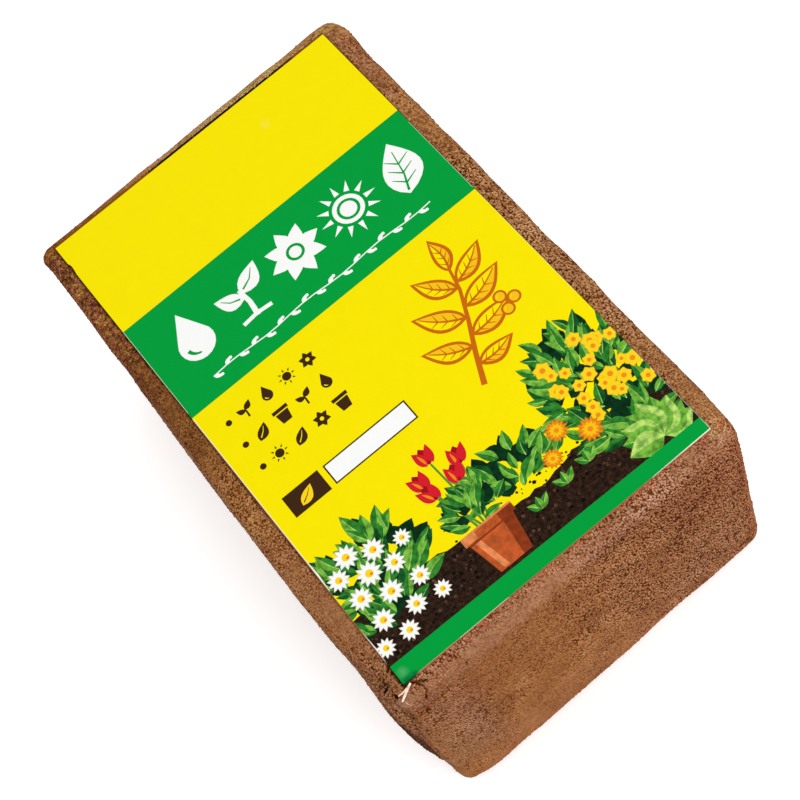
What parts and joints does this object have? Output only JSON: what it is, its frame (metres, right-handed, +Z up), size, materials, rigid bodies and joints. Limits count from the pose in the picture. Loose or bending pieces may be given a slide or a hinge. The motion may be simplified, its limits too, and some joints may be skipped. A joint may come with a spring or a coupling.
{
  "type": "coconut coir bale",
  "caption": "Brick of pressed coconut coir with worn, crumbly edges, resting flat, with a printed paper label stuck on its top face.",
  "frame": {"origin": "centre of the brick's footprint, on the flat underside that it rests on", "axes": "+Z up out of the labelled top face, +Y along the brick's length towards the label's head, +X across its width"},
  "size_m": [0.103, 0.1658, 0.0744],
  "materials": {
    "coir": "matt, granular pressed coir pith with short fibres",
    "label_paper": "smooth coated paper, printed in bright yellow and green"
  },
  "bodies": {
    "root": {"coir_block": "coir", "paper_label": "label_paper"}
  },
  "joints": []
}
